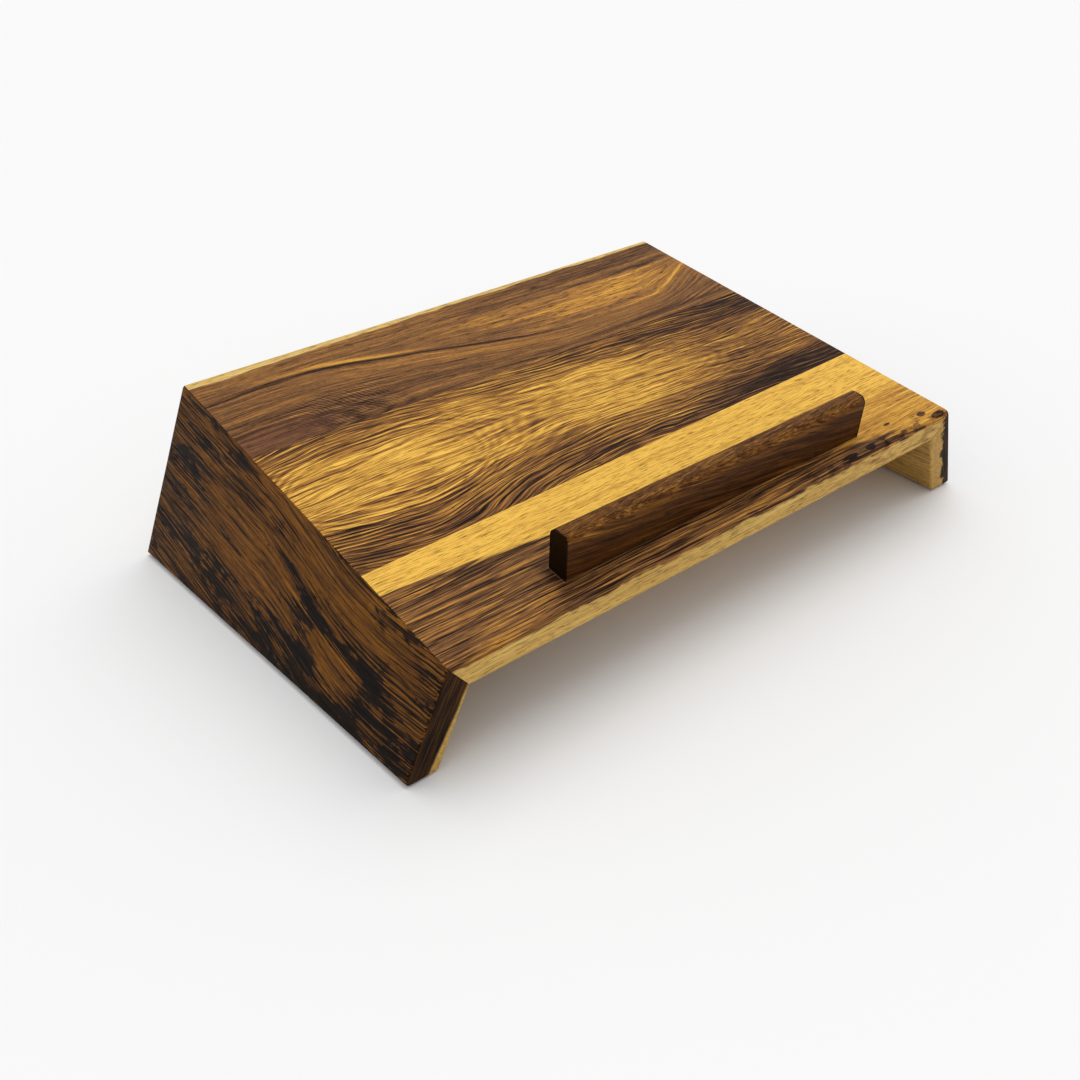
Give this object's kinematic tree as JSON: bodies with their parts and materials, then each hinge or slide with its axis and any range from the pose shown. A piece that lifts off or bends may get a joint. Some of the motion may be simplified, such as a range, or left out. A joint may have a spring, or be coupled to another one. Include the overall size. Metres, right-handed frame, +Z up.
{
  "type": "wooden tablet stand",
  "caption": "Sloping solid-wood tablet stand: a plank deck on splayed, mitred side legs, with a ledge near the low front edge that stops the tablet from sliding.",
  "frame": {"origin": "on the table plane, under the middle of the stand's bounding box", "axes": "+X along the deck's long side, +Y from the low front edge to the high back edge, +Z up"},
  "size_m": [0.4096, 0.2724, 0.1003],
  "materials": {
    "front_plank_wood": "satin oil, golden sapwood band over dark streaked heartwood, grain along X",
    "middle_plank_wood": "satin oil, golden centre with dark ribbed streaks towards both seams, grain along X",
    "back_plank_wood": "satin oil, grey-brown heartwood with golden streaks and a pale sapwood strip at the back edge, grain along X",
    "left_leg_wood": "satin oil, very dark brown with black pores, grain from front to back",
    "right_leg_wood": "satin oil, tan sapwood inside and dark heartwood outside, grain from front to back",
    "ledge_wood": "satin oil, dark walnut brown, fine slanting grain",
    "biscuit_beech": "compressed beech, unfinished",
    "dowel_beech": "turned beech, unfinished",
    "pad_rubber": "thin matte rubber"
  },
  "bodies": {
    "root": {"deck_front_plank": "front_plank_wood", "deck_middle_plank": "middle_plank_wood", "deck_back_plank": "back_plank_wood", "left_leg": "left_leg_wood", "right_leg": "right_leg_wood", "stop_ledge": "ledge_wood", "ledge_dowel_1": "dowel_beech", "ledge_dowel_2": "dowel_beech", "ledge_dowel_3": "dowel_beech", "front_seam_biscuit_1": "biscuit_beech", "front_seam_biscuit_2": "biscuit_beech", "front_seam_biscuit_3": "biscuit_beech", "back_seam_biscuit_1": "biscuit_beech", "back_seam_biscuit_2": "biscuit_beech", "back_seam_biscuit_3": "biscuit_beech", "left_mitre_biscuit_front": "biscuit_beech", "left_mitre_biscuit_middle": "biscuit_beech", "left_mitre_biscuit_back": "biscuit_beech", "right_mitre_biscuit_front": "biscuit_beech", "right_mitre_biscuit_middle": "biscuit_beech", "right_mitre_biscuit_back": "biscuit_beech", "left_front_pad": "pad_rubber", "left_back_pad": "pad_rubber", "right_front_pad": "pad_rubber", "right_back_pad": "pad_rubber"}
  },
  "joints": []
}
